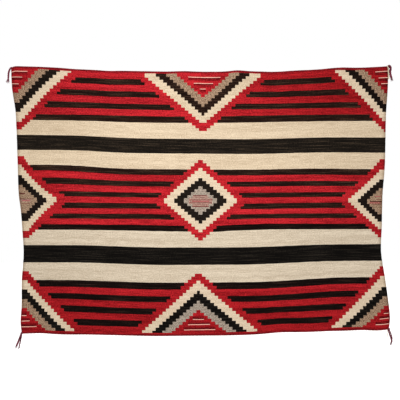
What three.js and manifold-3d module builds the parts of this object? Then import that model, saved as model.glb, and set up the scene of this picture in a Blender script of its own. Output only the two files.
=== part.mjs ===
// A hand-woven wool chief blanket, as it hangs by its top edge.
// Millimetres. +X is to the right seen from the front, +Z is up, and the face looks towards -Y.
// The origin is the middle of the web's top edge.
import * as THREE from 'three';
import { mergeVertices } from 'three/addons/utils/BufferGeometryUtils.js';
import Module from 'manifold-3d';

const wasm = await Module();
wasm.setup();

// Web: its thickness, and how many cells its surface has across and down
const webThickness = 2.4;
const cellsAcross = 52;
const cellsDown = 34;

// Side edges: how far each stands from the middle line, at shares of the way down the web
const sideEdges = [
  { share: 0.0, left: 921, right: 909 },
  { share: 0.08, left: 916, right: 905 },
  { share: 0.17, left: 899, right: 897 },
  { share: 0.36, left: 889, right: 891 },
  { share: 0.47, left: 884, right: 880 },
  { share: 0.53, left: 874, right: 878 },
  { share: 0.6, left: 867, right: 876 },
  { share: 0.7, left: 860, right: 873 },
  { share: 0.8, left: 869, right: 892 },
  { share: 0.9, left: 870, right: 909 },
  { share: 0.96, left: 875, right: 916 },
  { share: 1.0, left: 870, right: 911 },
];

// Weft lines: depth below the origin at mid width, how far both ends curve up from there (all the way
// across, and at the shoulders alone), and how far the right end leans down and the left end up
const weftLines = [
  { share: 0.0, depth: 0, rise: 28, shoulder: 0, lean: 1 }, // top edge
  { share: 0.28, depth: 355, rise: 1, shoulder: 12, lean: 7 }, // upper wide band
  { share: 0.507, depth: 642, rise: 3, shoulder: 4, lean: 0 }, // middle
  { share: 0.7, depth: 888, rise: 2, shoulder: 13, lean: -3 }, // lower wide band
  { share: 1.0, depth: 1267, rise: 11, shoulder: 9, lean: -12 }, // bottom edge
];
const shoulderStart = 0.2;
const shoulderEnd = 0.75;

// Short pulls where an edge is lifted or dragged out of its line
const edgePulls = [
  { edge: 'top', at: -930, reach: 22, lift: -9 },
  { edge: 'top', at: -780, reach: 80, lift: 3 },
  { edge: 'top', at: -440, reach: 60, lift: -3 },
  { edge: 'top', at: -82, reach: 55, lift: 3 },
  { edge: 'top', at: 178, reach: 50, lift: 6 },
  { edge: 'top', at: 360, reach: 70, lift: -4 },
  { edge: 'top', at: 655, reach: 75, lift: 4 },
  { edge: 'bottom', at: -780, reach: 60, lift: 4 },
  { edge: 'bottom', at: 385, reach: 90, lift: 6 },
  { edge: 'bottom', at: 860, reach: 60, lift: -6 },
];
// Share of the web over which a pull dies away from its edge
const pullFade = 0.12;

// Soft standing ripples: where each starts, how far it drifts sideways on its way down, its half width,
// and how far it stands forward at the top and at the bottom
const ripples = [
  { at: -745, drift: 25, reach: 80, top: 1.5, bottom: 5 },
  { at: -470, drift: -45, reach: 105, top: 4, bottom: 2.5 },
  { at: -235, drift: 30, reach: 85, top: 2.5, bottom: 7 },
  { at: 45, drift: -25, reach: 95, top: 5, bottom: 3 },
  { at: 325, drift: 30, reach: 90, top: 3, bottom: 6.5 },
  { at: 600, drift: -35, reach: 100, top: 4, bottom: 3 },
  { at: 815, drift: 10, reach: 60, top: 1, bottom: 4.5 },
];
// The lower edge stands out in the middle and lies back at its corners
const bottomStandOff = 13;

// Edge cords: plied yarn bound along the top and bottom edges, fatter where it is bunched
const cordRadius = 3.2;
const cordSides = 8;
const topBunches = [
  { at: -690, reach: 55, swell: 1.2 },
  { at: -395, reach: 40, swell: 0.5 },
  { at: 690, reach: 60, swell: 1.1 },
];
const bottomBunches = [
  { at: -640, reach: 70, swell: 0.8 },
  { at: 120, reach: 90, swell: 0.5 },
  { at: 700, reach: 60, swell: 0.8 },
];

// Clearance between pieces that touch
const clearance = 0.3;

// Corner tassels: a knot at the end of the edge cord, two strands, and loose plies at each tip, which
// spread by brushSpread from the strand's own direction
const knotRadius = { x: 5.2, y: 4.6, z: 5.8 };
const strandSteps = 9;
const strandSides = 4;
const brushLocks = 3;
const brushLength = 13;
const brushSpread = 0.2;
const brushRoot = 3;

// Strand routes, as steps right, back and up from the knot's middle
const tassels = [
  {
    name: 'tassel_top_left',
    edge: 'top',
    side: -1,
    strands: [
      { radius: 2.9, route: [[-1, -1, 0], [-5, -2, -10], [-8, -3, -26], [-8, -4, -44], [-9, -4, -60]] },
      { radius: 2.6, route: [[0, 2, 0], [-2, 4, -12], [-4, 3, -30], [-5, 2, -44], [-5, 1, -56]] },
    ],
  },
  {
    name: 'tassel_top_right',
    edge: 'top',
    side: 1,
    strands: [
      { radius: 2.9, route: [[0, -1, 0], [6, -2, 3], [10, -3, -12], [10, -4, -36], [15, -4, -54]] },
      { radius: 2.6, route: [[0, 2, -2], [2, 4, -14], [5, 3, -30], [6, 2, -42], [10, 1, -52]] },
    ],
  },
  {
    name: 'tassel_bottom_left',
    edge: 'bottom',
    side: -1,
    strands: [
      { radius: 3.1, route: [[0, -1, -1], [-1, -3, -14], [-7, -4, -30], [-14, -5, -46], [-19, -5, -57]] },
      { radius: 2.3, route: [[1, 3, -1], [3, 3, -16], [1, 2, -34], [-3, 1, -50], [-7, 0, -62]] },
    ],
  },
  {
    name: 'tassel_bottom_right',
    edge: 'bottom',
    side: 1,
    strands: [
      { radius: 3.1, route: [[-1, -1, -1], [-3, -3, -16], [1, -4, -34], [6, -5, -50], [4, -5, -62]] },
      { radius: 2.2, route: [[1, 3, -1], [4, 3, -14], [9, 2, -28], [11, 1, -42], [9, 0, -52]] },
    ],
  },
];

// Yarn colours
const redWool = new THREE.MeshStandardMaterial({ color: 0xb3232b, roughness: 0.95, metalness: 0 });
const maroonWool = new THREE.MeshStandardMaterial({ color: 0x6e2433, roughness: 0.9, metalness: 0 });

// A column's value between the rows of a table, on a smooth curve through the rows
function between(table, share, column) {
  const last = table.length - 1;
  const slopeAt = (k) => {
    const before = table[Math.max(k - 1, 0)];
    const after = table[Math.min(k + 1, last)];
    return (after[column] - before[column]) / (after.share - before.share);
  };
  let i = 0;
  while (i < last - 1 && share > table[i + 1].share) i += 1;
  const from = table[i];
  const to = table[i + 1];
  const span = to.share - from.share;
  const t = (share - from.share) / span;
  const keepFrom = (1 + 2 * t) * (1 - t) ** 2;
  const leaveFrom = t * (1 - t) ** 2;
  const arriveTo = t * t * (t - 1);
  const heading = leaveFrom * slopeAt(i) + arriveTo * slopeAt(i + 1);
  return keepFrom * from[column] + (1 - keepFrom) * to[column] + heading * span;
}

// A soft hump of height 1 at its middle
function hump(distance, reach) {
  return Math.exp(-((distance / reach) ** 2));
}

// The web's middle surface: across runs from 0 at the left edge to 1 at the right, share from 0 at the
// top to 1 at the bottom
function surfacePoint(across, share) {
  const left = between(sideEdges, share, 'left');
  const right = between(sideEdges, share, 'right');
  const x = -left + (left + right) * across;
  const side = 2 * across - 1;
  const shoulder = THREE.MathUtils.smoothstep(Math.abs(side), shoulderStart, shoulderEnd);
  let z = -between(weftLines, share, 'depth');
  z += between(weftLines, share, 'rise') * side * side;
  z += between(weftLines, share, 'shoulder') * shoulder;
  z -= between(weftLines, share, 'lean') * side;
  for (const pull of edgePulls) {
    const away = pull.edge === 'top' ? share : 1 - share;
    z += pull.lift * hump(x - pull.at, pull.reach) * hump(away, pullFade);
  }
  let forward = bottomStandOff * share ** 2 * (1 - side ** 4);
  for (const ripple of ripples) {
    const height = THREE.MathUtils.lerp(ripple.top, ripple.bottom, share);
    forward += height * hump(x - ripple.at - ripple.drift * share, ripple.reach);
  }
  return new THREE.Vector3(x, -forward, z);
}

// The direction that the web's face looks in
function surfaceNormal(across, share) {
  const step = 0.002;
  const right = surfacePoint(across + step, share).sub(surfacePoint(across - step, share));
  const up = surfacePoint(across, share - step).sub(surfacePoint(across, share + step));
  return right.cross(up).normalize();
}

// Moves every vertex of a geometry to where place puts it
function reshape(geometry, place) {
  const position = geometry.attributes.position;
  const from = new THREE.Vector3();
  for (let i = 0; i < position.count; i += 1) {
    from.fromBufferAttribute(position, i);
    const to = place(from);
    position.setXYZ(i, to.x, to.y, to.z);
  }
  geometry.computeVertexNormals();
  return geometry;
}

// The woven sheet
function makeWeb() {
  const slab = new THREE.BoxGeometry(1, 1, 1, cellsAcross, cellsDown, 1);
  return reshape(slab, (from) => {
    const across = from.x + 0.5;
    const share = 0.5 - from.y;
    const proud = surfaceNormal(across, share).multiplyScalar(from.z * webThickness);
    return surfacePoint(across, share).add(proud);
  });
}

// How fat an edge cord is at a place across the web
function cordRadiusAt(x, bunches) {
  let radius = cordRadius;
  for (const bunch of bunches) radius += bunch.swell * hump(x - bunch.at, bunch.reach);
  return radius;
}

// The middle of an edge cord beside the web's top or bottom edge
function cordPoint(edge, across) {
  const outward = edge === 'top' ? 1 : -1;
  const point = surfacePoint(across, edge === 'top' ? 0 : 1);
  const bunches = edge === 'top' ? topBunches : bottomBunches;
  point.z += outward * (cordRadiusAt(point.x, bunches) + clearance);
  return point;
}

// An edge cord, one ring of vertices for each column of the web
function makeEdgeCord(edge) {
  const bunches = edge === 'top' ? topBunches : bottomBunches;
  const rod = new THREE.CylinderGeometry(1, 1, 1, cordSides, cellsAcross);
  return reshape(rod, (from) => {
    const middle = cordPoint(edge, from.y + 0.5);
    const radius = cordRadiusAt(middle.x, bunches);
    return new THREE.Vector3(middle.x, middle.y + from.z * radius, middle.z + from.x * radius);
  });
}

// Joining of closed geometries
function toSolid(geometry) {
  const plain = geometry.clone();
  plain.deleteAttribute('normal');
  plain.deleteAttribute('uv');
  const merged = mergeVertices(plain, 1e-4);
  const vertProperties = merged.attributes.position.array;
  const triVerts = new Uint32Array(merged.index.array);
  return new wasm.Manifold(new wasm.Mesh({ numProp: 3, vertProperties, triVerts }));
}

function joinGeometries(geometries) {
  const joined = geometries.map(toSolid).reduce((whole, piece) => whole.add(piece));
  const mesh = joined.getMesh();
  const geometry = new THREE.BufferGeometry();
  geometry.setAttribute('position', new THREE.BufferAttribute(mesh.vertProperties, 3));
  geometry.setIndex(new THREE.BufferAttribute(mesh.triVerts, 1));
  geometry.computeVertexNormals();
  return geometry;
}

// One strand: a plied cord with four sides
function makeStrand(curve, radius) {
  const section = new THREE.Shape();
  for (let i = 0; i < strandSides; i += 1) {
    const angle = (2 * Math.PI * i) / strandSides;
    const corner = [radius * Math.cos(angle), radius * Math.sin(angle)];
    if (i === 0) section.moveTo(...corner);
    else section.lineTo(...corner);
  }
  return new THREE.ExtrudeGeometry(section, { steps: strandSteps, extrudePath: curve });
}

// The loose plies that spread from a strand's tip
function makeBrush(curve, radius) {
  const tip = curve.getPointAt(1);
  const heading = curve.getTangentAt(1);
  const locks = [];
  for (let i = 0; i < brushLocks; i += 1) {
    const turn = (2 * Math.PI * i) / brushLocks;
    const lean = new THREE.Vector3(Math.cos(turn), Math.sin(turn), 0).multiplyScalar(brushSpread);
    const direction = heading.clone().add(lean).normalize();
    const lock = new THREE.ConeGeometry(0.8 * radius, brushLength, 3);
    lock.translate(0, brushLength / 2 - brushRoot, 0);
    lock.applyQuaternion(new THREE.Quaternion().setFromUnitVectors(new THREE.Vector3(0, 1, 0), direction));
    lock.translate(tip.x, tip.y, tip.z);
    locks.push(lock);
  }
  return locks;
}

// A corner tassel: its knot stands just off the end of the edge cord
function makeTassel(tassel) {
  const cordEnd = cordPoint(tassel.edge, tassel.side < 0 ? 0 : 1);
  const knot = new THREE.Vector3(tassel.side * (knotRadius.x + clearance), 0, 0).add(cordEnd);
  const pieces = [
    new THREE.SphereGeometry(1, 12, 8).scale(knotRadius.x, knotRadius.y, knotRadius.z).translate(...knot),
  ];
  for (const strand of tassel.strands) {
    const stops = strand.route.map((step) => new THREE.Vector3(...step).add(knot));
    const curve = new THREE.CatmullRomCurve3(stops);
    pieces.push(makeStrand(curve, strand.radius), ...makeBrush(curve, strand.radius));
  }
  return joinGeometries(pieces);
}

const blanket = new THREE.Group();

function addPiece(name, geometry, material) {
  const mesh = new THREE.Mesh(geometry, material);
  mesh.name = name;
  blanket.add(mesh);
}

addPiece('blanket_web', makeWeb(), redWool);
addPiece('top_edge_cord', makeEdgeCord('top'), maroonWool);
addPiece('bottom_edge_cord', makeEdgeCord('bottom'), maroonWool);
for (const tassel of tassels) addPiece(tassel.name, makeTassel(tassel), maroonWool);

export default blanket;
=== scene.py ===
# A wool chief blanket as it hangs by its top edge: the woven web, the twisted edge cords and the corner
# tassels. Metres. +X is to the right seen from the front, +Z is up, and the face looks towards -Y.
import math
import random

import bmesh
import bpy
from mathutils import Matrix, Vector, noise


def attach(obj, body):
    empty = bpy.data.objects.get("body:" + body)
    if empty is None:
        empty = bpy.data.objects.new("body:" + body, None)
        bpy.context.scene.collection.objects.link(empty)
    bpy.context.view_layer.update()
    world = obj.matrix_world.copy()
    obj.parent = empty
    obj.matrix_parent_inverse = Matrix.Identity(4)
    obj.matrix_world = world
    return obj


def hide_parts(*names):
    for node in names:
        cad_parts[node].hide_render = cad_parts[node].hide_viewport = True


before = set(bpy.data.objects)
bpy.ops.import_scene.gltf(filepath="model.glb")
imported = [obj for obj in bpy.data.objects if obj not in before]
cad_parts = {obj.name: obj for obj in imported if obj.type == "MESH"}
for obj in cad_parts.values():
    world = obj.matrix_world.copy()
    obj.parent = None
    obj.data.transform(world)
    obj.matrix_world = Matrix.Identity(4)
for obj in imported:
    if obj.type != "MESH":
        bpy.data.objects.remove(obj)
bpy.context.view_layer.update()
scene = bpy.context.scene
print("Frame loaded:", ", ".join(sorted(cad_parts)))


# Camera: square on to the blanket, from far away

view = {
    "middle": (-0.005, -0.616),  # what the middle of the picture looks at: across, up
    "distance": 12.0,
    "width": 1.94,  # how much of the blanket's plane the picture takes in
    "clipEnd": 200,
}


def makeCamera():
    camera = bpy.data.objects.new("camera", bpy.data.cameras.new("camera"))
    scene.collection.objects.link(camera)
    camera.location = (view["middle"][0], -view["distance"], view["middle"][1])
    camera.rotation_euler = (math.radians(90), 0, 0)
    camera.data.lens = camera.data.sensor_width * view["distance"] / view["width"]
    camera.data.clip_end = view["clipEnd"]
    scene.camera = camera


makeCamera()


# The web's surface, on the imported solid's lines but for a closer pull at the upper left corner

web = {
    "thickness": 0.0024,
    "cells": (248, 176),  # across and down
    "halfWide": 0.89,  # half the width of the weaver's plan
    "tall": 1.267,
    "rowTall": 0.0145,  # usual height of one row of terrace
    "pucker": 0.0007,  # small unevenness of a hand-beaten weave
    "puckerSize": 0.035,
    "selvageWave": 0.0011,  # how far the side edges wander in and out
    "selvageWaveSize": 0.03,
    "selvageReach": 0.012,  # how far in from the edge that goes
    "rimShare": 0.35,  # rounding of the rim, as a share of the thickness
}

sideEdges = [  # how far each side edge stands from the middle line, at shares of the way down
    {"share": 0.0, "left": 0.921, "right": 0.909},
    {"share": 0.08, "left": 0.916, "right": 0.905},
    {"share": 0.17, "left": 0.899, "right": 0.897},
    {"share": 0.36, "left": 0.889, "right": 0.891},
    {"share": 0.47, "left": 0.884, "right": 0.880},
    {"share": 0.53, "left": 0.874, "right": 0.878},
    {"share": 0.6, "left": 0.867, "right": 0.876},
    {"share": 0.7, "left": 0.860, "right": 0.873},
    {"share": 0.8, "left": 0.869, "right": 0.892},
    {"share": 0.9, "left": 0.870, "right": 0.909},
    {"share": 0.96, "left": 0.875, "right": 0.916},
    {"share": 1.0, "left": 0.870, "right": 0.911},
]

# Five weft lines: the depth at mid width, how far both ends rise over the whole width and over the
# shoulders alone, and how far the right end leans down and the left end up
weftLines = [
    {"share": 0.0, "depth": 0.0, "rise": 0.028, "shoulder": 0.0, "lean": 0.001},
    {"share": 0.28, "depth": 0.355, "rise": 0.001, "shoulder": 0.012, "lean": 0.007},
    {"share": 0.507, "depth": 0.642, "rise": 0.003, "shoulder": 0.004, "lean": 0.0},
    {"share": 0.7, "depth": 0.888, "rise": 0.002, "shoulder": 0.013, "lean": -0.003},
    {"share": 1.0, "depth": 1.267, "rise": 0.011, "shoulder": 0.009, "lean": -0.012},
]
shoulderStart = 0.2  # as shares of the way from mid width to an end
shoulderEnd = 0.75

edgePulls = [  # where an edge is lifted or dragged out of its line
    {"edge": "top", "at": -0.93, "reach": 0.019, "lift": -0.012, "fade": 0.03},
    {"edge": "top", "at": -0.78, "reach": 0.08, "lift": 0.003},
    {"edge": "top", "at": -0.44, "reach": 0.06, "lift": -0.003},
    {"edge": "top", "at": -0.082, "reach": 0.055, "lift": 0.003},
    {"edge": "top", "at": 0.178, "reach": 0.05, "lift": 0.006},
    {"edge": "top", "at": 0.36, "reach": 0.07, "lift": -0.004},
    {"edge": "top", "at": 0.655, "reach": 0.075, "lift": 0.004},
    {"edge": "bottom", "at": -0.78, "reach": 0.06, "lift": 0.004},
    {"edge": "bottom", "at": 0.385, "reach": 0.09, "lift": 0.006},
    {"edge": "bottom", "at": 0.86, "reach": 0.06, "lift": -0.006},
]
pullFade = 0.12  # how soon a pull fades inwards, unless it has a fade of its own

ripples = [  # soft standing ripples, and how far they stand forward at the top and bottom
    {"at": -0.745, "drift": 0.025, "reach": 0.08, "top": 0.0015, "bottom": 0.005},
    {"at": -0.47, "drift": -0.045, "reach": 0.105, "top": 0.004, "bottom": 0.0025},
    {"at": -0.235, "drift": 0.03, "reach": 0.085, "top": 0.0025, "bottom": 0.007},
    {"at": 0.045, "drift": -0.025, "reach": 0.095, "top": 0.005, "bottom": 0.003},
    {"at": 0.325, "drift": 0.03, "reach": 0.09, "top": 0.003, "bottom": 0.0065},
    {"at": 0.6, "drift": -0.035, "reach": 0.1, "top": 0.004, "bottom": 0.003},
    {"at": 0.815, "drift": 0.01, "reach": 0.06, "top": 0.001, "bottom": 0.0045},
]
bottomStandOff = 0.013  # the lower edge stands out in the middle and lies back at its corners


def between(table, share, column):
    # a column's value between the rows of a table, on a smooth curve through the rows
    last = len(table) - 1

    def slopeAt(k):
        before, after = table[max(k - 1, 0)], table[min(k + 1, last)]
        return (after[column] - before[column]) / (after["share"] - before["share"])

    i = 0
    while i < last - 1 and share > table[i + 1]["share"]:
        i += 1
    start, end = table[i], table[i + 1]
    span = end["share"] - start["share"]
    t = (share - start["share"]) / span
    keepStart = (1 + 2 * t) * (1 - t) ** 2
    heading = t * (1 - t) ** 2 * slopeAt(i) + t * t * (t - 1) * slopeAt(i + 1)
    return keepStart * start[column] + (1 - keepStart) * end[column] + heading * span


def hump(distance, reach):
    return math.exp(-((distance / reach) ** 2))


def smoothStep(value, start, end):
    t = min(max((value - start) / (end - start), 0), 1)
    return t * t * (3 - 2 * t)


def surfacePoint(across, share):
    # across runs from 0 at the left edge to 1 at the right, share from 0 at the top to 1 at the bottom
    left = between(sideEdges, share, "left")
    right = between(sideEdges, share, "right")
    x = -left + (left + right) * across
    side = 2 * across - 1
    z = -between(weftLines, share, "depth")
    z += between(weftLines, share, "rise") * side * side
    z += between(weftLines, share, "shoulder") * smoothStep(abs(side), shoulderStart, shoulderEnd)
    z -= between(weftLines, share, "lean") * side
    for pull in edgePulls:
        away = share if pull["edge"] == "top" else 1 - share
        z += pull["lift"] * hump(x - pull["at"], pull["reach"]) * hump(away, pull.get("fade", pullFade))
    forward = bottomStandOff * share**2 * (1 - side**4)
    for ripple in ripples:
        height = ripple["top"] + (ripple["bottom"] - ripple["top"]) * share
        forward += height * hump(x - ripple["at"] - ripple["drift"] * share, ripple["reach"])
    return Vector((x, -forward, z))


# The weaver's plan

# Stripes from the top edge down: wool, depth of the lower border, and how many rows of terrace it takes
stripes = [
    ("red", 0.034, 2), ("sable", 0.062, 2), ("red", 0.094, 2), ("sable", 0.122, 2),
    ("red", 0.155, 2), ("sable", 0.181, 2), ("red", 0.212, 2), ("sable", 0.243, 2),
    ("cream", 0.320, 6), ("slate", 0.391, 5), ("cream", 0.468, 5),
    ("sable", 0.496, 2), ("red", 0.527, 2), ("sable", 0.551, 2), ("red", 0.582, 2),
    ("sable", 0.605, 2), ("red", 0.634, 2), ("sable", 0.661, 2), ("red", 0.688, 2),
    ("sable", 0.712, 2), ("red", 0.741, 2), ("jet", 0.768, 2),
    ("ecru", 0.845, 5.5), ("coal", 0.929, 5.5), ("ecru", 1.015, 6),
    ("jet", 1.048, 2), ("red", 1.081, 2), ("jet", 1.109, 2), ("red", 1.140, 2),
    ("jet", 1.169, 2), ("red", 1.200, 2), ("jet", 1.230, 2), ("red", 1.267, 2),
]

wanders = [  # where the stripes were beaten down lower, or higher, than their even depths
    {"across": -0.78, "depth": 0.22, "wide": 0.30, "tall": 0.05, "lower": 0.009},
    {"across": -0.75, "depth": 0.49, "wide": 0.22, "tall": 0.055, "lower": -0.0115},
    {"across": -0.75, "depth": 1.12, "wide": 0.20, "tall": 0.08, "lower": -0.007},
    {"across": -0.40, "depth": 0.40, "wide": 0.14, "tall": 0.14, "lower": 0.003},
    {"across": -0.30, "depth": 0.71, "wide": 0.15, "tall": 0.07, "lower": -0.004},
    {"across": 0.03, "depth": 0.76, "wide": 0.09, "tall": 0.05, "lower": 0.004},
    {"across": 0.32, "depth": 0.18, "wide": 0.22, "tall": 0.09, "lower": -0.006},
    {"across": 0.32, "depth": 0.74, "wide": 0.22, "tall": 0.05, "lower": -0.008},
    {"across": 0.36, "depth": 1.13, "wide": 0.16, "tall": 0.09, "lower": 0.004},
    {"across": 0.75, "depth": 0.51, "wide": 0.20, "tall": 0.08, "lower": 0.004},
    {"across": 0.72, "depth": 1.04, "wide": 0.22, "tall": 0.08, "lower": -0.006},
]


def wovenPlace(across, share, x):
    # where a point lies on the weaver's plan: across from the middle warp, down from the top edge, and
    # down among the stripes, which wander
    edge = between(sideEdges, share, "left" if x < 0 else "right")
    warp = x / edge * web["halfWide"]
    weft = share * web["tall"]
    lower = 0
    for wander in wanders:
        near = hump(warp - wander["across"], wander["wide"]) * hump(weft - wander["depth"], wander["tall"])
        lower += wander["lower"] * near
    return warp, weft, weft - lower


def rowAt(weft):
    # how many rows of terrace lie above a depth
    rows, top = 0.0, 0.0
    for wool, bottom, count in stripes:
        if weft <= bottom:
            return rows + count * (weft - top) / (bottom - top)
        rows, top = rows + count, bottom
    return rows + (weft - top) / web["rowTall"]


def makeWeb():
    # a fine grid laid on the surface, with the plan in its UV maps
    mesh = bpy.data.meshes.new("blanket_cloth")
    bm = bmesh.new()
    bmesh.ops.create_grid(bm, x_segments=web["cells"][0], y_segments=web["cells"][1], size=0.5)
    weaveMap = bm.loops.layers.uv.new("weave")
    rowMap = bm.loops.layers.uv.new("rows")
    plans = []
    for vert in bm.verts:
        across, share = vert.co.x + 0.5, 0.5 - vert.co.y
        place = surfacePoint(across, share)
        warp, weft, striped = wovenPlace(across, share, place.x)
        plans.append((warp, weft, rowAt(striped)))
        pucker = noise.noise(place / web["puckerSize"]) * web["pucker"]
        edgeFar = web["halfWide"] - abs(warp)
        wave = noise.noise(Vector((math.copysign(5, warp), 0, place.z / web["selvageWaveSize"])))
        place.x += math.copysign(web["selvageWave"] * wave * hump(edgeFar, web["selvageReach"]), warp)
        place.y += pucker
        vert.co = place
    bm.verts.index_update()
    for face in bm.faces:
        for loop in face.loops:
            warp, weft, row = plans[loop.vert.index]
            loop[weaveMap].uv = (warp, weft)
            loop[rowMap].uv = (warp, row)
        face.smooth = True
    bmesh.ops.recalc_face_normals(bm, faces=bm.faces)
    bm.to_mesh(mesh)
    bm.free()
    cloth = bpy.data.objects.new("blanket_cloth", mesh)
    scene.collection.objects.link(cloth)
    body = cloth.modifiers.new("body", "SOLIDIFY")
    body.thickness = web["thickness"]
    body.offset = 0
    rim = cloth.modifiers.new("rim", "BEVEL")
    rim.width = web["thickness"] * web["rimShare"]
    rim.segments = 2
    rim.limit_method = "ANGLE"
    rim.angle_limit = math.radians(60)
    return cloth


# Cords and tassels: plied yarn

cords = {
    "radius": 0.0032,
    "fluff": 0.001,  # how much fuller the wool is than the solid cord
    "plyShare": 0.66,  # a ply's radius, as a share of the cord's
    "twist": 0.014,  # length of one full twist
    "steps": 9,  # points in one twist
    "fewestSteps": 12,  # points in a run shorter than a twist or so
    "aheadShare": 0.002,  # how far before and behind a point its heading is taken
    "overlap": 0.0014,  # how far the cord bites over the web's edge
    "roundness": 1,  # bevel steps round a ply
}
bunches = {  # where the bound cord is fatter
    "top": [
        {"at": -0.69, "reach": 0.055, "swell": 0.0012},
        {"at": -0.395, "reach": 0.04, "swell": 0.0005},
        {"at": 0.69, "reach": 0.06, "swell": 0.0011},
    ],
    "bottom": [
        {"at": -0.64, "reach": 0.07, "swell": 0.0008},
        {"at": 0.12, "reach": 0.09, "swell": 0.0005},
        {"at": 0.7, "reach": 0.06, "swell": 0.0008},
    ],
}
clearance = 0.0003  # the solids' gap between web and cord

tassels = [  # strand routes are steps right, back and up from beside the cord's end
    {
        "name": "tassel_top_left", "edge": "top", "side": -1, "knotSize": 0.5,
        "strands": [
            {"radius": 0.0046, "yarn": "maroon", "route": [
                (9, 0, 3), (2, -1, -1), (-4, -2, -12), (-7, -3, -26), (-8, -4, -46), (-8, -4, -58),
            ]},
            {"radius": 0.0030, "yarn": "maroon", "route": [
                (2, 2, -2), (-3, 4, -14), (-6, 3, -30), (-7, 2, -46), (-12, 1, -56),
            ]},
        ],
    },
    {
        "name": "tassel_top_right", "edge": "top", "side": 1, "knotSize": 1.0,
        "strands": [
            {"radius": 0.0058, "yarn": "maroon", "route": [
                (-5, -1, 3), (1, -3, 3), (5, -4, -8), (2, -4, -24), (5, -4, -42), (8, -4, -54),
            ]},
            {"radius": 0.0042, "yarn": "maroon", "route": [
                (0, 2, -2), (6, 4, -12), (4, 3, -28), (6, 2, -42), (10, 1, -53),
            ]},
            {"radius": 0.0040, "yarn": "pale", "route": [
                (-12, -1, 3), (-7, -2, -4), (-6, -3, -18), (-5, -3, -34), (-4, -3, -50), (-5, -3, -60),
            ]},
        ],
    },
    {
        "name": "tassel_bottom_left", "edge": "bottom", "side": -1, "knotSize": 0.5,
        "strands": [
            {"radius": 0.0050, "yarn": "maroon", "route": [
                (7, -1, 4), (3, -2, -6), (-4, -4, -24), (-11, -5, -42), (-19, -5, -60),
            ]},
            {"radius": 0.0034, "yarn": "maroon", "route": [
                (6, 2, 1), (3, 3, -20), (-1, 2, -40), (-6, 1, -62),
            ]},
        ],
    },
    {
        "name": "tassel_bottom_right", "edge": "bottom", "side": 1, "knotSize": 0.5,
        "strands": [
            {"radius": 0.0042, "yarn": "maroon", "route": [
                (-9, -1, 2), (-6, -3, -12), (-1, -4, -28), (5, -5, -46), (8, -5, -58), (6, -5, -65),
            ]},
            {"radius": 0.0026, "yarn": "maroon", "route": [
                (-6, 3, 0), (2, 3, -16), (8, 2, -34), (10, 1, -48), (6, 0, -62),
            ]},
            {"radius": 0.0014, "yarn": "pale", "route": [
                (-11, -1, 1), (-14, -2, -14), (-12, -2, -30), (-15, -2, -42),
            ]},
        ],
    },
]
routeUnit = 0.001  # routes are in millimetres
yarnSlots = ["maroon", "pale"]

knot = {
    "radius": Vector((0.0052, 0.0046, 0.0058)),
    "yarn": 0.0019,
    "turns": 5,
    "turnSteps": 14,  # points in one turn
    "tumble": 0.37,  # how much each turn tips over against the last
    "sink": 0.9,  # how deep the yarn lies inside the ball, as a share of its radius
}
brush = {
    "fibres": 22,
    "points": 6,  # along one fibre
    "length": 0.017,
    "shortest": 0.55,  # as a share of the longest
    "spread": 0.24,
    "upSpread": 0.4,  # how much less the fibres spread up and down
    "rootSpread": 0.6,  # over how much of the strand's radius they start
    "rootDepth": 0.003,
    "droop": 0.35,
    "radius": 0.0003,
    "taper": (1.6, 0.5),  # root and tip, as shares of the radius
}
tipShare = 0.05  # the last part of a strand, which gives its fibres their heading


def cordRadiusAt(x, edge):
    swells = (bunch["swell"] * hump(x - bunch["at"], bunch["reach"]) for bunch in bunches[edge])
    return cords["radius"] + sum(swells)


def cordPoint(edge, across):
    outward = 1 if edge == "top" else -1
    point = surfacePoint(across, 0 if edge == "top" else 1)
    point.z += outward * (cordRadiusAt(point.x, edge) + clearance)
    return point


def alongRoute(stops, share):
    # a smooth curve through the stops
    last = len(stops) - 1
    i = min(int(share * last), last - 1)
    t = share * last - i
    a, b, c, d = (stops[min(max(i + k, 0), last)] for k in (-1, 0, 1, 2))
    return 0.5 * (
        2 * b + (c - a) * t + (2 * a - 5 * b + 4 * c - d) * t * t + (3 * b - a - 3 * c + d) * t**3
    )


def plyRuns(middle, radiusAt, length, start=0.0):
    # two plies wound round a middle line, which middle(share) gives
    count = max(cords["fewestSteps"], round(length / cords["twist"] * cords["steps"]))
    ahead = cords["aheadShare"]
    runs = []
    for ply in range(2):
        run = []
        for i in range(count + 1):
            share = i / count
            place = middle(share)
            heading = (middle(min(share + ahead, 1)) - middle(max(share - ahead, 0))).normalized()
            outward = heading.cross(Vector((0, 1, 0))).normalized()
            sideways = heading.cross(outward)
            angle = 2 * math.pi * (share * length / cords["twist"] + ply / 2) + start
            radius = radiusAt(place, share)
            plyRadius = radius * cords["plyShare"]
            offset = (outward * math.cos(angle) + sideways * math.sin(angle)) * (radius - plyRadius)
            run.append((place + offset, plyRadius))
        runs.append(run)
    return runs


def makeYarns(name, runs):
    # tubes along runs of points, as one mesh; each run comes with the slot of its yarn
    curve = bpy.data.curves.new(name, "CURVE")
    curve.dimensions = "3D"
    curve.bevel_depth = 1.0
    curve.bevel_resolution = cords["roundness"]
    curve.use_fill_caps = True
    for slot in yarnSlots:
        curve.materials.append(None)
    for slot, run in runs:
        spline = curve.splines.new("POLY")
        spline.points.add(len(run) - 1)
        for point, (place, radius) in zip(spline.points, run):
            point.co = (*place, 1)
            point.radius = radius
        spline.use_smooth = True
        spline.material_index = slot
    holder = bpy.data.objects.new(name + "_line", curve)
    mesh = bpy.data.meshes.new_from_object(holder)
    bpy.data.objects.remove(holder)
    bpy.data.curves.remove(curve)
    piece = bpy.data.objects.new(name, mesh)
    mesh.name = name
    scene.collection.objects.link(piece)
    return piece


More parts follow.
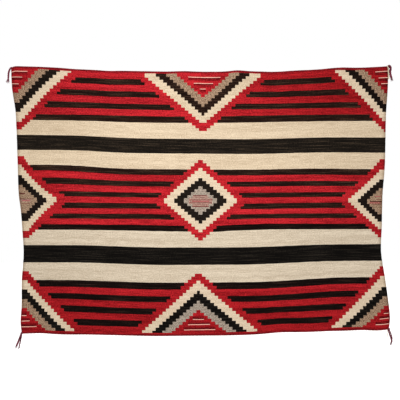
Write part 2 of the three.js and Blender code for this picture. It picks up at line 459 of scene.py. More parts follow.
def makeEdgeCord(name, edge):
    outward = Vector((0, 0, 1 if edge == "top" else -1))
    length = (cordPoint(edge, 1) - cordPoint(edge, 0)).length
    runs = plyRuns(
        lambda share: cordPoint(edge, share) - outward * cords["overlap"],
        lambda place, share: cordRadiusAt(place.x, edge) + cords["fluff"],
        length,
    )
    return makeYarns(name, [(0, run) for run in runs])


def knotRun(middle, size):
    # yarn wound over itself into a small ball
    run = []
    steps = knot["turnSteps"] * knot["turns"]
    shell = knot["radius"] * size - Vector((1, 1, 1)) * knot["yarn"] * knot["sink"] * size
    for i in range(steps + 1):
        turn = 2 * math.pi * i / knot["turnSteps"]
        tilt = turn * knot["tumble"]
        way = Vector((math.cos(turn), math.sin(turn) * math.cos(tilt), math.sin(turn) * math.sin(tilt)))
        run.append((middle + Vector((way.x * shell.x, way.y * shell.y, way.z * shell.z)), knot["yarn"]))
    return run


def brushRuns(tip, heading, radius, chance):
    # loose fibres that spread from a strand's tip
    thick, thin = brush["taper"]
    runs = []
    for i in range(brush["fibres"]):
        lean = Vector((chance.gauss(0, 1), chance.gauss(0, 1), chance.gauss(0, brush["upSpread"])))
        way = (heading + lean * brush["spread"]).normalized()
        offset = Vector((chance.uniform(-1, 1), chance.uniform(-1, 1), 0))
        root = tip + offset * radius * brush["rootSpread"] - heading * brush["rootDepth"]
        length = brush["length"] * chance.uniform(brush["shortest"], 1.0)
        droop = Vector((0, 0, -1)) * length * brush["droop"]
        run = []
        for k in range(brush["points"]):
            t = k / (brush["points"] - 1)
            width = brush["radius"] * (thick + (thin - thick) * t)
            run.append((root + way * length * t + droop * t * t, width))
        runs.append(run)
    return runs


def makeTassel(tassel, seed):
    chance = random.Random(seed)
    cordEnd = cordPoint(tassel["edge"], 0 if tassel["side"] < 0 else 1)
    middle = cordEnd + Vector((tassel["side"] * (knot["radius"].x + clearance), 0, 0))
    knotMiddle = cordEnd.lerp(middle, tassel["knotSize"])
    runs = [(0, knotRun(knotMiddle, tassel["knotSize"]))]
    for strand in tassel["strands"]:
        radius = strand["radius"]
        stops = [middle + Vector(step) * routeUnit for step in strand["route"]]
        length = sum((b - a).length for a, b in zip(stops, stops[1:]))
        start = chance.uniform(0, 6)
        plies = plyRuns(lambda share: alongRoute(stops, share), lambda place, share: radius, length, start)
        if strand["yarn"] == "maroon":
            heading = (alongRoute(stops, 1) - alongRoute(stops, 1 - tipShare)).normalized()
            plies += brushRuns(stops[-1], heading, radius, chance)
        slot = yarnSlots.index(strand["yarn"])
        runs += [(slot, run) for run in plies]
    return makeYarns(tassel["name"] + "_yarn", runs)


cloth = makeWeb()
print("Web laid:", len(cloth.data.polygons), "cells")
topCord = makeEdgeCord("top_cord_yarn", "top")
bottomCord = makeEdgeCord("bottom_cord_yarn", "bottom")
print("Edge cords twisted:", len(topCord.data.polygons) + len(bottomCord.data.polygons), "faces")
tasselPieces = [makeTassel(tassel, seed) for seed, tassel in enumerate(tassels, 1)]
print("Tassels tied:", sum(len(piece.data.polygons) for piece in tasselPieces), "faces")


# Helpers for materials

def addNode(tree, kind, **settings):
    node = tree.nodes.new(kind)
    for key, value in settings.items():
        setattr(node, key, value)
    return node


def feed(tree, socket, value):
    if isinstance(value, bpy.types.NodeSocket):
        tree.links.new(value, socket)
    else:
        socket.default_value = value


def calc(tree, operation, *values):
    node = addNode(tree, "ShaderNodeMath", operation=operation)
    for socket, value in zip(node.inputs, values):
        feed(tree, socket, value)
    return node.outputs[0]


def mixNumbers(tree, under, over, mask):
    node = addNode(tree, "ShaderNodeMix", data_type="FLOAT")
    for socket, value in zip((node.inputs[0], node.inputs[2], node.inputs[3]), (mask, under, over)):
        feed(tree, socket, value)
    return node.outputs[0]


def mixColours(tree, under, over, mask, blend="MIX"):
    node = addNode(tree, "ShaderNodeMix", data_type="RGBA", blend_type=blend)
    for socket, value in zip((node.inputs[0], node.inputs[6], node.inputs[7]), (mask, under, over)):
        feed(tree, socket, value)
    return node.outputs[2]


def linear(red, green, blue):
    # a screen colour of 0 to 255 as scene light
    channels = []
    for value in (red, green, blue):
        share = value / 255
        channels.append(share / 12.92 if share <= 0.04045 else ((share + 0.055) / 1.055) ** 2.4)
    return (*channels, 1)


def newMaterial(name, finish):
    material = bpy.data.materials.new(name)
    material.use_nodes = True
    shader = material.node_tree.nodes["Principled BSDF"]
    shader.inputs["Roughness"].default_value = finish["roughness"]
    shader.inputs["Specular IOR Level"].default_value = finish["specular"]
    shader.inputs["Sheen Weight"].default_value = finish["sheen"]
    shader.inputs["Sheen Roughness"].default_value = 0.5
    shader.inputs["Sheen Tint"].default_value = finish["sheenTint"]
    return material, material.node_tree, shader


def yarnNoise(tree, along, down, alongSize, downSize, detail=2.0):
    # noise drawn out along the yarn: alongSize and downSize are its grain in metres
    place = addNode(tree, "ShaderNodeCombineXYZ")
    feed(tree, place.inputs[0], calc(tree, "DIVIDE", along, alongSize))
    feed(tree, place.inputs[1], calc(tree, "DIVIDE", down, downSize))
    grain = addNode(tree, "ShaderNodeTexNoise", noise_dimensions="2D")
    feed(tree, grain.inputs["Vector"], place.outputs[0])
    grain.inputs["Scale"].default_value = 1.0
    grain.inputs["Detail"].default_value = detail
    return grain.outputs["Fac"]


def stretch(tree, value, start, end):
    # start to end, spread over 0 to 1
    node = addNode(tree, "ShaderNodeMapRange", clamp=True)
    feed(tree, node.inputs["Value"], value)
    node.inputs["From Min"].default_value = start
    node.inputs["From Max"].default_value = end
    return node.outputs["Result"]


def addBump(tree, shader, height, distance, strength):
    bump = addNode(tree, "ShaderNodeBump")
    bump.inputs["Distance"].default_value = distance
    bump.inputs["Strength"].default_value = strength
    feed(tree, bump.inputs["Height"], height)
    tree.links.new(bump.outputs[0], shader.inputs["Normal"])


# Stepped motifs, charted by counting terraces

# A flank starts at its apex with the half width of its tip, and has the half width "wide" after its steps.
# The bow is how far it stands out from a straight line half way. A flank that faces up has its apex above.
# The outline's terraces fall on the rows of the stripes and go on past its steps. Each ring inside it has
# terraces of its own, which end at its foot.
def flank(wool, apex, rise, steps, tip, wide, bow):
    bend = -4 * bow / steps**2
    stride = (wide - tip) / steps - (steps - 1) * bend
    return {"wool": wool, "apex": apex, "rise": rise, "tip": tip, "stride": stride, "bend": bend}


def outline(row, steps, tip, wide, bow=0.0):
    return flank("red", row, 1.0, steps, tip, wide, bow)


def ring(wool, apex, foot, steps, tip, wide, bow=0.0):
    return flank(wool, apex, abs(foot - apex) / steps, steps, tip, wide, bow) | {"steps": steps}


motifs = [
    {
        "name": "centre diamond", "middle": -0.003,
        "up": [
            outline(row=29, steps=11, tip=0.012, wide=0.190, bow=0.005),
            ring("white", apex=0.461, foot=0.608, steps=10, tip=0.010, wide=0.178, bow=0.003),
            ring("black", apex=0.510, foot=0.609, steps=7, tip=0.010, wide=0.128, bow=0.003),
            ring("taupe", apex=0.550, foot=0.608, steps=4, tip=0.011, wide=0.081),
        ],
        "down": [
            outline(row=57, steps=11, tip=0.012, wide=0.197),
            ring("white", apex=0.772, foot=0.633, steps=10, tip=0.010, wide=0.178, bow=0.001),
            ring("black", apex=0.730, foot=0.632, steps=7, tip=0.009, wide=0.128, bow=0.003),
            ring("taupe", apex=0.687, foot=0.632, steps=4, tip=0.010, wide=0.081, bow=0.001),
        ],
    },
    {
        "name": "top half diamond", "middle": 0.009,
        "down": [
            outline(row=19, steps=16, tip=0.019, wide=0.291),
            ring("cream", apex=0.241, foot=0.025, steps=15, tip=0.018, wide=0.273),
            ring("sable", apex=0.207, foot=0.020, steps=13, tip=0.007, wide=0.221, bow=-0.002),
            ring("dun", apex=0.165, foot=0.020, steps=10, tip=0.007, wide=0.172),
            ring("red", apex=0.118, foot=0.021, steps=7, tip=0.009, wide=0.122),
        ],
    },
    {
        "name": "bottom half diamond", "middle": -0.013,
        "up": [
            outline(row=68, steps=16, tip=0.018, wide=0.296),
            ring("white", apex=1.006, foot=1.245, steps=16, tip=0.010, wide=0.278),
            ring("coal", apex=1.055, foot=1.247, steps=13, tip=0.007, wide=0.228),
            ring("taupe", apex=1.103, foot=1.247, steps=10, tip=0.008, wide=0.178),
            ring("red", apex=1.148, foot=1.248, steps=7, tip=0.010, wide=0.131),
        ],
    },
    {
        "name": "left half diamond", "middle": -0.89,
        "up": [
            outline(row=29, steps=12, tip=0.033, wide=0.222, bow=-0.027),
            ring("cream", apex=0.459, foot=0.608, steps=11, tip=0.019, wide=0.182, bow=-0.014),
            ring("black", apex=0.508, foot=0.612, steps=8, tip=0.019, wide=0.132, bow=-0.004),
            ring("dun", apex=0.553, foot=0.612, steps=5, tip=0.021, wide=0.086),
        ],
        "down": [
            outline(row=57, steps=12, tip=0.033, wide=0.219),
            ring("cream", apex=0.774, foot=0.633, steps=10, tip=0.034, wide=0.184, bow=-0.011),
            ring("black", apex=0.726, foot=0.635, steps=7, tip=0.034, wide=0.132, bow=-0.005),
            ring("dun", apex=0.687, foot=0.635, steps=4, tip=0.029, wide=0.086),
        ],
    },
    {
        "name": "right half diamond", "middle": 0.89,
        "up": [
            outline(row=29, steps=12, tip=0.027, wide=0.197, bow=-0.003),
            ring("white", apex=0.474, foot=0.613, steps=10, tip=0.026, wide=0.167, bow=-0.005),
            ring("black", apex=0.521, foot=0.616, steps=7, tip=0.022, wide=0.120),
            ring("dun", apex=0.564, foot=0.617, steps=4, tip=0.020, wide=0.074),
        ],
        "down": [
            outline(row=57, steps=12, tip=0.018, wide=0.197, bow=0.002),
            ring("white", apex=0.769, foot=0.635, steps=10, tip=0.019, wide=0.167),
            ring("black", apex=0.731, foot=0.635, steps=7, tip=0.022, wide=0.120),
            ring("dun", apex=0.694, foot=0.642, steps=4, tip=0.023, wide=0.074),
        ],
    },
    {
        "name": "top left quarter diamond", "middle": -0.89,
        "down": [
            outline(row=20, steps=17, tip=0.026, wide=0.300, bow=-0.013),
            ring("white", apex=0.259, foot=0.013, steps=15, tip=0.027, wide=0.281, bow=-0.003),
            ring("black", apex=0.212, foot=0.012, steps=12, tip=0.025, wide=0.229, bow=-0.002),
            ring("dun", apex=0.168, foot=0.012, steps=9, tip=0.026, wide=0.176),
            ring("red", apex=0.121, foot=0.014, steps=6, tip=0.028, wide=0.125),
        ],
    },
    {
        "name": "top right quarter diamond", "middle": 0.89,
        "down": [
            outline(row=20, steps=17, tip=0.008, wide=0.269, bow=-0.008),
            ring("white", apex=0.244, foot=0.018, steps=15, tip=0.018, wide=0.253, bow=-0.004),
            ring("black", apex=0.202, foot=0.015, steps=12, tip=0.019, wide=0.204, bow=-0.005),
            ring("dun", apex=0.166, foot=0.013, steps=9, tip=0.018, wide=0.157, bow=-0.002),
            ring("red", apex=0.117, foot=0.014, steps=6, tip=0.017, wide=0.112),
        ],
    },
    {
        "name": "bottom left quarter diamond", "middle": -0.89,
        "up": [
            outline(row=68, steps=16, tip=0.033, wide=0.280, bow=-0.010),
            ring("white", apex=1.015, foot=1.244, steps=15, tip=0.029, wide=0.262, bow=-0.008),
            ring("coal", apex=1.060, foot=1.244, steps=12, tip=0.029, wide=0.217, bow=-0.008),
            ring("dun", apex=1.106, foot=1.244, steps=9, tip=0.029, wide=0.169, bow=-0.004),
            ring("red", apex=1.149, foot=1.246, steps=6, tip=0.028, wide=0.119, bow=-0.002),
        ],
    },
    {
        "name": "bottom right quarter diamond", "middle": 0.89,
        "up": [
            outline(row=67, steps=17, tip=0.018, wide=0.289, bow=-0.008),
            ring("white", apex=1.006, foot=1.244, steps=15, tip=0.024, wide=0.273),
            ring("coal", apex=1.061, foot=1.246, steps=12, tip=0.025, wide=0.222),
            ring("dun", apex=1.106, foot=1.246, steps=9, tip=0.026, wide=0.177, bow=-0.002),
            ring("red", apex=1.153, foot=1.248, steps=6, tip=0.025, wide=0.126),
        ],
    },
]


# Single picks

# Light wool in the red fields: where each pick starts and ends across, and its depth. Each has a dark pick
# beside it, below it in the upper fields and above it in the lower ones, with a finer one further off
lightPicks = [
    {"from": -0.060, "to": 0.092, "depth": 0.022},
    {"from": -0.034, "to": 0.057, "depth": 0.051},
    {"from": -0.006, "to": 0.022, "depth": 0.078},
    {"from": -0.892, "to": -0.814, "depth": 0.018},
    {"from": -0.892, "to": -0.840, "depth": 0.046},
    {"from": -0.892, "to": -0.857, "depth": 0.079},
    {"from": 0.828, "to": 0.892, "depth": 0.017},
    {"from": 0.845, "to": 0.892, "depth": 0.046},
    {"from": 0.858, "to": 0.892, "depth": 0.073},
    {"from": -0.040, "to": 0.014, "depth": 1.194},
    {"from": -0.064, "to": 0.042, "depth": 1.219},
    {"from": -0.084, "to": 0.068, "depth": 1.244},
    {"from": -0.886, "to": -0.862, "depth": 1.186},
    {"from": -0.886, "to": -0.845, "depth": 1.212},
    {"from": -0.888, "to": -0.812, "depth": 1.240},
    {"from": 0.862, "to": 0.885, "depth": 1.191},
    {"from": 0.841, "to": 0.885, "depth": 1.216},
    {"from": 0.824, "to": 0.886, "depth": 1.244},
]
pickSizes = {"light": 0.0037, "dark": 0.0044, "darkOff": 0.0058, "fine": 0.0028, "fineOff": 0.0125}

colourPicks = [  # streaks inside the middle diamonds
    {"wool": "blush", "from": -0.042, "to": 0.036, "depth": 0.602, "tall": 0.010},
    {"wool": "blush", "from": -0.060, "to": 0.055, "depth": 0.622, "tall": 0.028},
    {"wool": "blush", "from": -0.042, "to": 0.036, "depth": 0.642, "tall": 0.012},
    {"wool": "umber", "from": -0.038, "to": 0.028, "depth": 0.5950, "tall": 0.0040},
    {"wool": "umber", "from": -0.030, "to": 0.020, "depth": 0.606, "tall": 0.0018},
    {"wool": "umber", "from": -0.058, "to": 0.056, "depth": 0.616, "tall": 0.0030},
    {"wool": "rose", "from": -0.044, "to": 0.040, "depth": 0.6225, "tall": 0.0046},
    {"wool": "umber", "from": -0.058, "to": 0.052, "depth": 0.6295, "tall": 0.0030},
    {"wool": "umber", "from": -0.043, "to": 0.039, "depth": 0.637, "tall": 0.0018},
    {"wool": "umber", "from": -0.044, "to": 0.038, "depth": 0.6475, "tall": 0.0044},
    {"wool": "wine", "from": -0.887, "to": -0.858, "depth": 0.594, "tall": 0.0044},
    {"wool": "blush", "from": -0.887, "to": -0.836, "depth": 0.624, "tall": 0.014},
    {"wool": "wine", "from": -0.886, "to": -0.856, "depth": 0.619, "tall": 0.0036},
    {"wool": "umber", "from": -0.856, "to": -0.830, "depth": 0.619, "tall": 0.0024},
    {"wool": "rose", "from": -0.878, "to": -0.838, "depth": 0.627, "tall": 0.0036},
    {"wool": "umber", "from": -0.884, "to": -0.840, "depth": 0.640, "tall": 0.0018},
    {"wool": "rose", "from": 0.853, "to": 0.882, "depth": 0.605, "tall": 0.0034},
    {"wool": "umber", "from": 0.862, "to": 0.884, "depth": 0.620, "tall": 0.0024},
    {"wool": "wine", "from": 0.830, "to": 0.887, "depth": 0.630, "tall": 0.0040},
    {"wool": "rose", "from": 0.828, "to": 0.882, "depth": 0.637, "tall": 0.0052},
    {"wool": "umber", "from": 0.840, "to": 0.884, "depth": 0.645, "tall": 0.0018},
]


# Wools

# The deep and the bright shade that a thread varies between, and by which blend of grains. Red and black
# come first and pale comes last, because the darkening of red and black and the painted shade at the
# selvages go by that order
wools = {
    "red": {"deep": linear(126, 18, 26), "bright": linear(204, 50, 58), "by": "shade"},
    "black": {"deep": linear(17, 14, 12), "bright": linear(46, 38, 32), "by": "shade"},
    "cream": {"deep": linear(183, 164, 139), "bright": linear(217, 200, 175), "by": "shade"},
    "taupe": {"deep": linear(118, 106, 95), "bright": linear(184, 171, 157), "by": "heather"},
    "white": {"deep": linear(192, 173, 149), "bright": linear(218, 201, 178), "by": "shade"},
    "rose": {"deep": linear(154, 80, 80), "bright": linear(178, 100, 100), "by": "shade"},
    "umber": {"deep": linear(100, 50, 46), "bright": linear(130, 72, 66), "by": "shade"},
    "wine": {"deep": linear(52, 4, 7), "bright": linear(86, 11, 15), "by": "shade"},
    "blush": {"deep": linear(134, 105, 94), "bright": linear(184, 152, 139), "by": "heather"},
    "slate": {"deep": linear(26, 22, 18), "bright": linear(80, 68, 55), "by": "streaks"},
    "coal": {"deep": linear(14, 12, 10), "bright": linear(58, 52, 45), "by": "streaks"},
    "jet": {"deep": linear(16, 8, 7), "bright": linear(62, 44, 37), "by": "streaks"},
    "ecru": {"deep": linear(179, 164, 143), "bright": linear(214, 201, 181), "by": "shade"},
    "sable": {"deep": linear(32, 18, 14), "bright": linear(84, 64, 50), "by": "streaks"},
    "dun": {"deep": linear(108, 86, 68), "bright": linear(182, 156, 132), "by": "heather"},
    "pale": {"deep": linear(206, 160, 144), "bright": linear(228, 190, 172), "by": "shade"},
}
woolNumber = {name: float(i) for i, name in enumerate(wools)}

grains = {  # how long a change of shade is along the wefts, and how tall across them
    "thread": {"long": 0.06, "tall": 0.003, "detail": 3.0},
    "streak": {"long": 0.16, "tall": 0.004, "detail": 3.0},
    "batch": {"long": 0.5, "tall": 0.02, "detail": 1.0},  # from one batch of yarn to the next
    "fleck": {"long": 0.006, "tall": 0.003, "detail": 1.0},
}
blends = {  # how much of each grain, and the span of the sum that runs from deep to bright
    "shade": {"of": {"thread": 0.36, "batch": 0.18, "fleck": 0.46}, "span": (0.39, 0.61)},
    "streaks": {"of": {"streak": 0.65, "fleck": 0.35}, "span": (0.5, 0.72)},
    "heather": {"of": {"fleck": 0.7, "thread": 0.3}, "span": (0.38, 0.62)},
}
stray = {  # how far the wefts stray down and the terraces' ends across, and the grain of each
    "reach": 0.0022,
    "down": {"long": 0.045, "tall": 0.02},
    "across": {"long": 0.009, "tall": 0.03},
}
hems = {"above": 0.0045, "below": 1.2575}  # above and below these depths the wefts are red right across
# painted shade along the side edges: every wool but pale darkens over the last 15 mm towards each edge
selvageShade = {"span": (0.874, 0.889), "tint": (0.62, 0.58, 0.56, 1)}
redBlackDarkening = {  # where red and black are darker: towards the upper right, at the foot and at the sides
    "tint": (0.74, 0.6, 0.56, 1),
    "rightward": (-0.1, 0.7), "upward": (0.45, 0.15),
    "downward": (0.85, 1.2), "footShare": 0.8,
    "outward": (0.62, 0.84), "sideShare": 0.55,
}
relief = {  # a rib over each warp, and a bead where each weft crosses it
    "ribPitch": 0.0036,  # from warp to warp
    "pickPitch": 0.0013,  # from weft to weft
    "bead": 0.35,  # share of the rib's height that is lost between the beads
    "fleck": 0.5,  # how much the grains add
    "thread": 0.8,
    "depth": 0.0005,
    "strength": 0.8,
}
woolFinish = {"roughness": 0.95, "specular": 0.06, "sheen": 0.04, "sheenTint": linear(255, 225, 205)}


def flankWidth(tree, depth, side, facing):
    # half width of a flank, and less than nothing before its apex
    rise = facing / side["rise"]
    rows = calc(tree, "FLOOR", calc(tree, "MULTIPLY_ADD", depth, rise, -side["apex"] * rise))
    count = calc(tree, "MAXIMUM", rows, 0.0)
    if "steps" in side:
        count = calc(tree, "MINIMUM", count, float(side["steps"]))
    start = calc(tree, "ADD", calc(tree, "MINIMUM", rows, 0.0), side["tip"])
    stride = side["stride"]
    if side["bend"]:
        stride = calc(tree, "MULTIPLY_ADD", count, side["bend"], side["stride"] - side["bend"])
    return calc(tree, "MULTIPLY_ADD", count, stride, start)


def drawPick(tree, plan, warp, weft, pick, marks):
    # picks between two warps; marks are (wool, depth, tall)
    middle, half = (pick["from"] + pick["to"]) / 2, (pick["to"] - pick["from"]) / 2
    across = calc(tree, "COMPARE", warp, middle, half)
    for wool, depth, tall in marks:
        down = calc(tree, "COMPARE", weft, depth, tall / 2)
        plan = mixNumbers(tree, plan, woolNumber[wool], calc(tree, "MULTIPLY", across, down))
    return plan


def drawStripes(tree, row):
    plan = woolNumber[stripes[0][0]]
    rows = stripes[0][2]
    for wool, bottom, count in stripes[1:]:
        plan = mixNumbers(tree, plan, woolNumber[wool], calc(tree, "GREATER_THAN", row, float(rows)))
        rows += count
    return plan


def drawMotif(tree, plan, warp, weft, row, motif):
    # where flanks face up and down, the narrower of the two counts, in the wool of the upper one
    away = calc(tree, "ABSOLUTE", calc(tree, "SUBTRACT", warp, motif["middle"]))
    charts = [(motif[way], facing) for way, facing in (("up", 1), ("down", -1)) if way in motif]
    for i, first in enumerate(charts[0][0]):
        depth = row if i == 0 else weft
        widths = [flankWidth(tree, depth, chart[i], facing) for chart, facing in charts]
        width = widths[0] if len(widths) == 1 else calc(tree, "MINIMUM", *widths)
        inside = calc(tree, "LESS_THAN", away, width)
        plan = mixNumbers(tree, plan, woolNumber[first["wool"]], inside)
    return plan


def drawPlan(tree, warp, weft, row):
    # the number of the wool at each place
    plan = drawStripes(tree, row)
    for motif in motifs:
        plan = drawMotif(tree, plan, warp, weft, row, motif)
    plan = mixNumbers(tree, plan, woolNumber["red"], calc(tree, "LESS_THAN", weft, hems["above"]))
    plan = mixNumbers(tree, plan, woolNumber["red"], calc(tree, "GREATER_THAN", weft, hems["below"]))
    for pick in lightPicks:
        side = 1 if pick["depth"] < web["tall"] / 2 else -1
        plan = drawPick(tree, plan, warp, weft, pick, [
            ("wine", pick["depth"] + side * pickSizes["fineOff"], pickSizes["fine"]),
            ("wine", pick["depth"] + side * pickSizes["darkOff"], pickSizes["dark"]),
            ("pale", pick["depth"], pickSizes["light"]),
        ])
    for pick in colourPicks:
        plan = drawPick(tree, plan, warp, weft, pick, [(pick["wool"], pick["depth"], pick["tall"])])
    return plan


def strayBy(tree, along, down, grain):
    # a small offset either way
    spread = yarnNoise(tree, along, down, grain["long"], grain["tall"])
    return calc(tree, "MULTIPLY_ADD", spread, stray["reach"], -stray["reach"] / 2)


def dyeWools(tree, plan, fields):
    # every wool in its own shades, picked by the plan
    masks = {}
    for name, blend in blends.items():
        total = 0.0
        for grain, share in blend["of"].items():
            total = calc(tree, "MULTIPLY_ADD", fields[grain], share, total)
        masks[name] = stretch(tree, total, *blend["span"])
    colour = None
    for name, wool in wools.items():
        tone = mixColours(tree, wool["deep"], wool["bright"], masks[wool["by"]])
        if colour is None:
            colour = tone
        else:
            colour = mixColours(tree, colour, tone, calc(tree, "COMPARE", plan, woolNumber[name], 0.5))
    return colour


# painted shade: every wool but pale made darker towards each side edge
def shadeSelvages(tree, colour, plan, away):
    notPale = calc(tree, "LESS_THAN", plan, woolNumber["pale"] - 0.5)
    edgeShade = calc(tree, "MULTIPLY", stretch(tree, away, *selvageShade["span"]), notPale)
    return mixColours(tree, colour, selvageShade["tint"], edgeShade, "MULTIPLY")


# red and black made darker towards the upper right, the foot and the sides
def darkenRedAndBlack(tree, colour, plan, warp, weft, away):
    corner = calc(
        tree, "MULTIPLY", stretch(tree, warp, *redBlackDarkening["rightward"]), stretch(tree, weft, *redBlackDarkening["upward"])
    )
    foot = calc(tree, "MULTIPLY", stretch(tree, weft, *redBlackDarkening["downward"]), redBlackDarkening["footShare"])
    sides = calc(tree, "MULTIPLY", stretch(tree, away, *redBlackDarkening["outward"]), redBlackDarkening["sideShare"])
    darkening = calc(tree, "MAXIMUM", calc(tree, "MAXIMUM", corner, foot), sides)
    redOrBlack = calc(tree, "LESS_THAN", plan, woolNumber["black"] + 0.5)
    return mixColours(tree, colour, redBlackDarkening["tint"], calc(tree, "MULTIPLY", darkening, redOrBlack), "MULTIPLY")


def raiseWeave(tree, shader, warp, weft, fields):
    rib = calc(tree, "DIVIDE", warp, relief["ribPitch"])
    ribHeight = calc(tree, "ABSOLUTE", calc(tree, "SINE", calc(tree, "MULTIPLY", rib, math.pi)))
    offset = calc(tree, "MULTIPLY", calc(tree, "MODULO", calc(tree, "FLOOR", rib), 2.0), 0.5)
    bead = calc(tree, "ADD", calc(tree, "DIVIDE", weft, relief["pickPitch"]), offset)
    beadHeight = calc(tree, "ABSOLUTE", calc(tree, "SINE", calc(tree, "MULTIPLY", bead, math.pi)))
    height = calc(tree, "MULTIPLY_ADD", beadHeight, relief["bead"], 1 - relief["bead"])
    height = calc(tree, "MULTIPLY", height, ribHeight)
    for grain in ("fleck", "thread"):
        height = calc(tree, "MULTIPLY_ADD", fields[grain], relief[grain], height)
    addBump(tree, shader, height, relief["depth"], relief["strength"])


def dressWeb():
    material, tree, shader = newMaterial("wool_web", woolFinish)
    weaveMap = addNode(tree, "ShaderNodeUVMap", uv_map="weave")
    rowMap = addNode(tree, "ShaderNodeUVMap", uv_map="rows")
    weavePlace = addNode(tree, "ShaderNodeSeparateXYZ")
    rowPlace = addNode(tree, "ShaderNodeSeparateXYZ")
    tree.links.new(weaveMap.outputs[0], weavePlace.inputs[0])
    tree.links.new(rowMap.outputs[0], rowPlace.inputs[0])
    evenWarp, evenWeft, evenRow = weavePlace.outputs[0], weavePlace.outputs[1], rowPlace.outputs[1]

    # the plan, with the hand's small unevenness, and over it the shades
    downStray = strayBy(tree, evenWarp, evenWeft, stray["down"])
    acrossStray = strayBy(tree, evenWeft, evenWarp, stray["across"])
    warp = calc(tree, "ADD", evenWarp, acrossStray)
    weft = calc(tree, "ADD", evenWeft, downStray)
    row = calc(tree, "MULTIPLY_ADD", downStray, 1 / web["rowTall"], evenRow)
    plan = drawPlan(tree, warp, weft, row)

    fields = {}
    for name, grain in grains.items():
        fields[name] = yarnNoise(tree, evenWarp, evenWeft, grain["long"], grain["tall"], grain["detail"])
    away = calc(tree, "ABSOLUTE", evenWarp)
    colour = dyeWools(tree, plan, fields)
    colour = shadeSelvages(tree, colour, plan, away)
    colour = darkenRedAndBlack(tree, colour, plan, evenWarp, evenWeft, away)
    tree.links.new(colour, shader.inputs["Base Color"])
    raiseWeave(tree, shader, evenWarp, evenWeft, fields)
    cloth.data.materials.append(material)


yarnLooks = {
    "pale_yarn": {
        "deep": linear(196, 182, 160), "bright": linear(222, 210, 190), "sheenTint": linear(255, 240, 220),
    },
    "cord_yarn": {
        "deep": linear(98, 12, 20), "bright": linear(148, 34, 42), "sheenTint": linear(255, 190, 190),
    },
    "tassel_yarn": {
        "deep": linear(84, 28, 42), "bright": linear(134, 70, 84), "sheenTint": linear(255, 200, 210),
    },
}
yarnFinish = {"roughness": 0.92, "specular": 0.08, "sheen": 0.05}
yarnFuzz = {
    "scale": 900, "detail": 3,
    "patches": 22,  # scale of the changes from place to place
    "span": (0.7, 1.3),  # of the two noises' sum, from deep to bright
    "depth": 0.0004, "strength": 0.7,
}


def dressYarn(name):
    look = yarnLooks[name]
    material, tree, shader = newMaterial(name, {**yarnFinish, "sheenTint": look["sheenTint"]})
    place = addNode(tree, "ShaderNodeTexCoord")
    fuzz = addNode(tree, "ShaderNodeTexNoise")
    tree.links.new(place.outputs["Object"], fuzz.inputs["Vector"])
    fuzz.inputs["Scale"].default_value = yarnFuzz["scale"]
    fuzz.inputs["Detail"].default_value = yarnFuzz["detail"]
    patches = addNode(tree, "ShaderNodeTexNoise")
    tree.links.new(place.outputs["Object"], patches.inputs["Vector"])
    patches.inputs["Scale"].default_value = yarnFuzz["patches"]
    shade = calc(tree, "ADD", fuzz.outputs["Fac"], patches.outputs["Fac"])
    colour = mixColours(tree, look["deep"], look["bright"], stretch(tree, shade, *yarnFuzz["span"]))
    tree.links.new(colour, shader.inputs["Base Color"])
    addBump(tree, shader, fuzz.outputs["Fac"], yarnFuzz["depth"], yarnFuzz["strength"])
    return material


dressWeb()
print("Web dressed:", len(wools), "wools in", ", ".join(motif["name"] for motif in motifs))
paleYarn = dressYarn("pale_yarn")
cordYarn = dressYarn("cord_yarn")
tasselYarn = dressYarn("tassel_yarn")
for piece in (topCord, bottomCord, *tasselPieces):
    piece.data.materials[0] = cordYarn if piece in (topCord, bottomCord) else tasselYarn
    if any(face.material_index for face in piece.data.polygons):
        piece.data.materials[1] = paleYarn
    else:
        piece.data.materials.pop(index=1)
print("Cords and tassels dressed:", len(yarnLooks), "yarns")


# Studio

studio = {
    "floor": {"depth": -1.95, "radius": 40, "segments": 96, "tone": (0.93, 0.93, 0.93, 1), "glow": 0.3},
    "white": (1, 1, 1, 1),
    "key": {"place": (-0.9, -3.9, 0.8), "aim": (-0.06, 0, -0.35), "watts": 300, "cone": 29, "soft": 0.5},
    "back": {"place": (1.4, 3.6, 0.9), "aim": (0, 0, -0.6), "watts": 90, "cone": 60, "soft": 0.8},
    "gamma": 0.87,
}


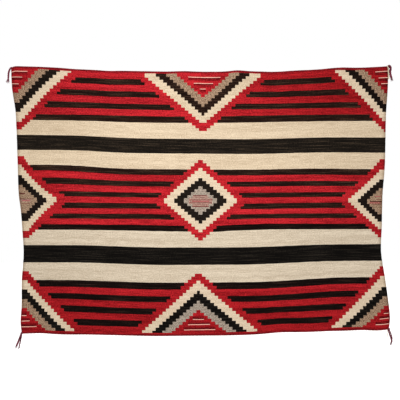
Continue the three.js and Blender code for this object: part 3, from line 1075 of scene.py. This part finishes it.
def makeSpot(name, lamp):
    light = bpy.data.lights.new(name, "SPOT")
    light.energy = lamp["watts"]
    light.spot_size = math.radians(lamp["cone"])
    light.spot_blend = 1.0
    light.shadow_soft_size = lamp["soft"]
    spot = bpy.data.objects.new(name, light)
    scene.collection.objects.link(spot)
    spot.location = lamp["place"]
    spot.rotation_euler = (Vector(lamp["aim"]) - spot.location).to_track_quat("-Z", "Y").to_euler()


def makeFloor(look):
    mesh = bpy.data.meshes.new("floor")
    bm = bmesh.new()
    bmesh.ops.create_circle(bm, cap_ends=True, segments=look["segments"], radius=look["radius"])
    bmesh.ops.translate(bm, verts=bm.verts, vec=(0, 0, look["depth"]))
    bm.to_mesh(mesh)
    bm.free()
    floor = bpy.data.objects.new("floor", mesh)
    scene.collection.objects.link(floor)
    material = bpy.data.materials.new("pale_floor")
    material.use_nodes = True
    shader = material.node_tree.nodes["Principled BSDF"]
    shader.inputs["Base Color"].default_value = look["tone"]
    shader.inputs["Roughness"].default_value = 0.9
    shader.inputs["Emission Color"].default_value = studio["white"]
    shader.inputs["Emission Strength"].default_value = look["glow"]
    mesh.materials.append(material)


def makeStudio():
    makeFloor(studio["floor"])
    world = bpy.data.worlds.new("studio")
    world.use_nodes = True
    world.node_tree.nodes["Background"].inputs["Color"].default_value = studio["white"]
    world.node_tree.nodes["Background"].inputs["Strength"].default_value = 1.0
    scene.world = world
    makeSpot("key", studio["key"])
    makeSpot("back", studio["back"])
    scene.view_settings.view_transform = "Standard"
    scene.view_settings.gamma = studio["gamma"]


makeStudio()
print("Studio lit")


# Bodies, and the imported part each piece stands for, which is hidden; the slot names are not used

pieces = [
    (cloth, "blanket_web", "wool_web"),
    (topCord, "top_edge_cord", "plied_cord"),
    (bottomCord, "bottom_edge_cord", "plied_cord"),
]
pieces += [(piece, tassel["name"], "plied_cord") for piece, tassel in zip(tasselPieces, tassels)]
for piece, node, slot in pieces:
    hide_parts(node)
    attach(piece, "root")

print("Pieces placed:", len(pieces))
